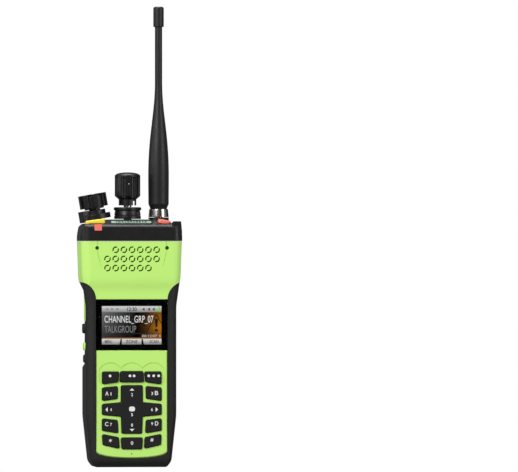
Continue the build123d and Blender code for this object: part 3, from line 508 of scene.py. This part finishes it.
def add_soft_key_dots():
    dots_up = 24.85
    dots = {"soft_left": (-16.3,), "soft_middle": (-1.55, 1.55), "soft_right": (12.4, 16.1, 19.8)}
    for name, places in dots.items():
        for index, across in enumerate(places):
            legend_dot(f"key_{name}", f"{name}_{index + 1}", across, dots_up)


def add_corner_legends():
    # key: letter and its place across, digit and its place across, height of the letter's middle
    corners = {"key_1": ("A", -18.6, "1", -15.6, 11.85), "key_3": ("B", 18.2, "3", 14.9, 12.15),
               "key_7": ("C", -18.8, "7", -15.6, -10.65), "key_9": ("D", 18.3, "9", 14.9, -10.25)}
    digit_drop = 0.3
    for key, (letter, letter_across, digit, digit_across, up) in corners.items():
        legend_text(key, f"letter_{letter}", letter, letter_across, up, LETTER_H, WIDE)
        aspect = NARROW if digit == "1" else USUAL
        legend_text(key, f"digit_{digit}", digit, digit_across, up - digit_drop, DIGIT_H, aspect)


def add_cross_legends():
    legend_arrow("up", 0, 14.85, 0)
    legend_arrow("down", 0, -15.15, math.pi)
    legend_arrow("left", -18.9, 0.05, math.pi / 2)
    legend_arrow("right", 18.4, 0.05, -math.pi / 2)
    digits = {"2": (0, 11.05), "4": (-15.6, -0.05), "6": (14.8, -0.05), "5": (0, -3.75), "8": (0, -11.45)}
    for digit, (across, up) in digits.items():
        legend_text(CROSS, f"digit_{digit}", digit, across, up, DIGIT_H)
    legend_dot(CROSS, "centre", 0, 0.45, 2.2, 1.8, power=3.2)


def add_legends():
    add_soft_key_dots()
    add_corner_legends()
    add_cross_legends()
    legend_text("key_0", "digit_0", "0", 0, -24.65, 2.7, aspect=0.66)
    legend_text("key_hash", "hash", "#", 14.8, -22.45, 2.6, aspect=0.85)
    legend_text("key_star", "star", "*", -16.0, -22.85, 2.4, aspect=1.0)


def add_index_dot():
    """Small white dot on the front of the tall knob."""
    radius, thickness, sunk, height_share = 0.35, 0.06, 0.02, 0.65
    low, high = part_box("channel_knob")
    middle_x = (low[0] + high[0]) / 2 / MM
    dot_z = (low[2] + (high[2] - low[2]) * height_share) / MM
    outline = ring_of_points(middle_x, dot_z, radius, radius, 16)
    dot = plate("index_dot", outline, low[1] / MM + sunk, thickness)
    keep(dot, "channel", legend_white)


# ---------------------------------------------------------------- the display
SCREEN_SIDE, SCREEN_FOOT, SCREEN_HEAD = 0.5, 1.2, 1.1      # the module's rim round the lit picture
module_low, module_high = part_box("lcd_module")
SCREEN_LEFT, SCREEN_RIGHT = module_low[0] / MM + SCREEN_SIDE, module_high[0] / MM - SCREEN_SIDE
SCREEN_LOW, SCREEN_HIGH = module_low[2] / MM + SCREEN_FOOT, module_high[2] / MM - SCREEN_HEAD
SCREEN_W = SCREEN_RIGHT - SCREEN_LEFT
SCREEN_H = SCREEN_HIGH - SCREEN_LOW
BAR_H, TAB_H = 4.5, 4.1
LAYER, SCREEN_GAP = 0.02, 0.01


def on_screen(u, v):
    """Place on the display from fractions across and down it."""
    return SCREEN_LEFT + u * SCREEN_W, SCREEN_HIGH - v * SCREEN_H


def screen_y(layer):
    """Plane of one layer of the picture, counted outward from the display's face."""
    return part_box("lcd_module")[0][1] / MM - SCREEN_GAP - layer * LAYER


def screen_plate(tag, outline, layer, material):
    piece = plate(f"screen_{tag}", outline, screen_y(layer), LAYER * 0.5)
    keep(piece, "radio", material)


def screen_box(tag, u0, u1, v0, v1, layer, material):
    (left, high), (right, low) = on_screen(u0, v0), on_screen(u1, v1)
    screen_plate(tag, box_outline(left, right, low, high), layer, material)


def screen_text(tag, words, u0, u1, v0, v1, layer, material, weight=BOLD):
    (left, high), (right, low) = on_screen(u0, v0), on_screen(u1, v1)
    y, thickness = screen_y(layer), LAYER * 0.5
    text = lettering(f"screen_{tag}", words, left, right, low, high, y, thickness, weight)
    keep(text, "radio", material)


def even_grey(value):
    return value, value, value


def picture_material():
    """Grey at the top left that fades to black, and an orange glow from the right end."""
    material, tree, shader = new_material("screen_picture")
    picture_low, picture_high = SCREEN_LOW + TAB_H, SCREEN_HIGH - BAR_H
    across = ramp_between(tree, place_along(tree, "X"), SCREEN_LEFT * MM, SCREEN_RIGHT * MM, 0.0, 1.0)
    up = ramp_between(tree, place_along(tree, "Z"), picture_low * MM, picture_high * MM, 0.0, 1.0)
    black = even_grey(0.0)
    grey = fading_ramp(tree, across, ((0.0, even_grey(0.14)), (0.3, even_grey(0.05)), (0.58, black)))
    grey_up = fading_ramp(tree, up, ((0.0, even_grey(0.16)), (1.0, even_grey(1.0))))
    ember, orange = (0.050, 0.020, 0.003), (0.46, 0.165, 0.006)
    glow = fading_ramp(tree, across, ((0.60, black), (0.74, ember), (1.0, orange)))
    glow_up = fading_ramp(tree, up, ((0.0, even_grey(0.30)), (0.42, even_grey(1.0)), (1.0, even_grey(0.42))))
    shade = joined(tree, "MULTIPLY", grey, grey_up)
    warm = joined(tree, "MULTIPLY", glow, glow_up)
    tree.links.new(joined(tree, "ADD", shade, warm), shader.inputs["Emission Color"])
    return finish_lit(material, shader)


def fading_ramp(tree, source, stops):
    """Colour ramp over 0..1 with these (position, colour) stops."""
    ramp = node(tree, "ShaderNodeValToRGB")
    elements = ramp.color_ramp.elements
    while len(elements) < len(stops):
        elements.new(0.5)
    for element, (position, colour) in zip(elements, stops):
        element.position = position
        element.color = tuple(colour) + (1,)
    tree.links.new(source, ramp.inputs["Fac"])
    return ramp.outputs["Color"]


def joined(tree, blend_type, first, second):
    """Two colours multiplied or added."""
    factor, one, two, made = colour_mix(tree, blend_type)
    factor.default_value = 1.0
    tree.links.new(first, one)
    tree.links.new(second, two)
    return made


def screen_stroke(tag, start, end, width, layer, material):
    """Straight stroke of even width between two places on the display."""
    (x0, z0), (x1, z1) = on_screen(*start), on_screen(*end)
    length = math.hypot(x1 - x0, z1 - z0)
    off_x, off_z = -(z1 - z0) / length * width / 2, (x1 - x0) / length * width / 2
    outline = [(x0 - off_x, z0 - off_z), (x1 - off_x, z1 - off_z),
               (x1 + off_x, z1 + off_z), (x0 + off_x, z0 + off_z)]
    screen_plate(tag, outline, layer, material)


def make_inks():
    """Colours of the lit picture."""
    colours = {
        "mid_grey": even_grey(0.22),
        "white": (0.80, 0.80, 0.79),
        "dark": (0.010, 0.008, 0.005),
        "dim": even_grey(0.045),
        "faint": even_grey(0.36),
        "green": (0.18, 0.62, 0.02),
        "orange": (0.40, 0.17, 0.06),
        "sand": (0.52, 0.44, 0.34),
    }
    return {name: lit(f"screen_{name}", colour) for name, colour in colours.items()}


def add_status_bar(inks):
    """Clock, six plain icons and the battery mark on a grey bar."""
    grey = lit_fade("screen_bar", SCREEN_HIGH - BAR_H, SCREEN_HIGH, even_grey(0.22), even_grey(0.68))
    screen_box("status_bar", 0, 1, 0, BAR_H / SCREEN_H, 1, grey)
    screen_text("clock", "12:30", 0.425, 0.585, 0.03, 0.135, 2, inks["dim"])
    for index, u in enumerate((0.09, 0.17, 0.26)):
        x, z = on_screen(u, 0.085)
        rim = ring_of_points(x, z, 1.1, 1.1, 12, power=2 + index)
        hole = ring_of_points(x, z, 0.6, 0.6, 12, power=2 + index)
        screen_plate(f"left_icon_{index + 1}", rim, 2, inks["faint"])
        screen_plate(f"left_icon_hole_{index + 1}", hole, 3, inks["mid_grey"])
    for index, u in enumerate((0.70, 0.79, 0.87)):
        x, z = on_screen(u, 0.082)
        arrow = [(x - 1.1, z), (x + 0.7, z - 1.3), (x + 0.7, z + 1.3)]
        screen_plate(f"right_icon_{index + 1}", arrow, 2, inks["dim"])
    screen_box("battery_bar", 0.947, 0.977, 0.022, 0.145, 2, inks["green"])


def add_screen_lines(inks):
    """The two large lines, and the small note above the tabs."""
    screen_text("zone_name", "CHANNEL_GRP_07", 0.045, 0.865, 0.25, 0.46, 3, inks["white"], PLAIN)
    screen_text("group_name", "TALKGROUP", 0.045, 0.575, 0.51, 0.69, 3, inks["mid_grey"], PLAIN)
    screen_text("small_note", "00:12:07", 0.67, 0.93, 0.745, 0.81, 3, inks["sand"])
    x, z = on_screen(0.972, 0.778)
    screen_plate("small_arrow", [(x - 0.8, z), (x + 0.5, z - 1.0), (x + 0.5, z + 1.0)], 3, inks["sand"])
    screen_box("thin_rule", 0.50, 0.98, 0.705, 0.715, 2, inks["dim"])


def add_warning_sign(inks):
    """Dark triangle that is open at its foot, and its mark."""
    apex, stroke = (0.915, 0.215), 0.62
    screen_stroke("triangle_left", apex, (0.755, 0.66), stroke, 2, inks["dark"])
    screen_stroke("triangle_right", apex, (0.995, 0.44), stroke, 2, inks["dark"])
    x, top = on_screen(0.915, 0.33)
    foot = top - 0.22 * SCREEN_H
    mark = [(x - 1.25, top), (x + 1.25, top), (x + 0.6, foot), (x - 0.6, foot)]
    screen_plate("mark_bar", mark, 2, inks["dark"])
    x, z = on_screen(0.915, 0.63)
    screen_plate("mark_dot", ring_of_points(x, z, 1.15, 1.1, 16), 2, inks["dark"])


def add_tabs(inks):
    """Soft-key tabs with slanting ends, under a thin warm line."""
    grey = lit_fade("screen_tabs", SCREEN_LOW, SCREEN_LOW + TAB_H, even_grey(0.22), (0.74, 0.73, 0.72))
    tab_v = 1 - TAB_H / SCREEN_H
    slant = SCREEN_W * 0.022
    screen_box("tab_rule", 0, 1, tab_v - 0.03, tab_v - 0.002, 2, inks["orange"])
    # each tab's two ends across the display, and how far each end slants in at its foot
    ends = ((0.0, 0.315, 0, slant), (0.335, 0.665, 0, 0), (0.685, 1.0, slant, 0))
    for index, (u0, u1, left_slant, right_slant) in enumerate(ends):
        (left, high), (right, low) = on_screen(u0, tab_v), on_screen(u1, 1.0)
        tab = [(left + left_slant, low), (right - right_slant, low), (right, high), (left, high)]
        screen_plate(f"tab_{index + 1}", tab, 2, grey)
    words = (("MENU", 0.05, 0.17), ("ZONE", 0.40, 0.60), ("SCAN", 0.80, 0.95))
    for index, (word, u0, u1) in enumerate(words):
        screen_text(f"tab_word_{index + 1}", word, u0, u1, tab_v + 0.03, 0.968, 3, inks["dim"])


def add_screen():
    inks = make_inks()
    screen_box("picture", 0, 1, 0, 1, 0, picture_material())
    add_status_bar(inks)
    add_screen_lines(inks)
    add_warning_sign(inks)
    add_tabs(inks)


def add_window_border():
    """Black print behind the window glass, open over the lit picture."""
    inset, gap, thickness = 0.15, 0.04, 0.03
    low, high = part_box("display_glass")
    outer = (low[0] / MM + inset, high[0] / MM - inset, low[2] / MM + inset, high[2] / MM - inset)
    inner = (SCREEN_LEFT, SCREEN_RIGHT, SCREEN_LOW, SCREEN_HIGH)
    border = make_border("window_border", outer, inner, high[1] / MM + gap, thickness)
    print_black = moulded("border_print", even_grey(0.0012), 0.3, edge_wear_and_highlight=1.0, depth=0.02, specular=0.02)
    keep(border, "radio", print_black)


def make_border(name, outer, inner, y, thickness):
    """Flat closed frame between two boxes, each given as left, right, low and high."""
    build = bmesh.new()
    rings = []
    for deep in (y, y - thickness):
        for sides in (outer, inner):
            corners = box_outline(*sides)
            rings.append([build.verts.new((x * MM, deep * MM, z * MM)) for x, z in corners])
    back_outer, back_inner, front_outer, front_inner = rings
    for a, b in ((back_outer, back_inner), (front_inner, front_outer), (front_outer, back_outer),
                 (back_inner, front_inner)):
        for index in range(4):
            after = (index + 1) % 4
            build.faces.new((a[index], a[after], b[after], b[index]))
    return finish_build(name, build)


materials = make_materials()
add_camera()
add_stage()
dress_cad_nodes(materials)
legend_white = moulded("legend_white", (0.86, 0.86, 0.84), 0.5, depth=0.1, drift=0.03, edge_wear_and_highlight=1.0)
add_legends()
add_index_dot()
add_screen()
add_window_border()
add_top_marks()
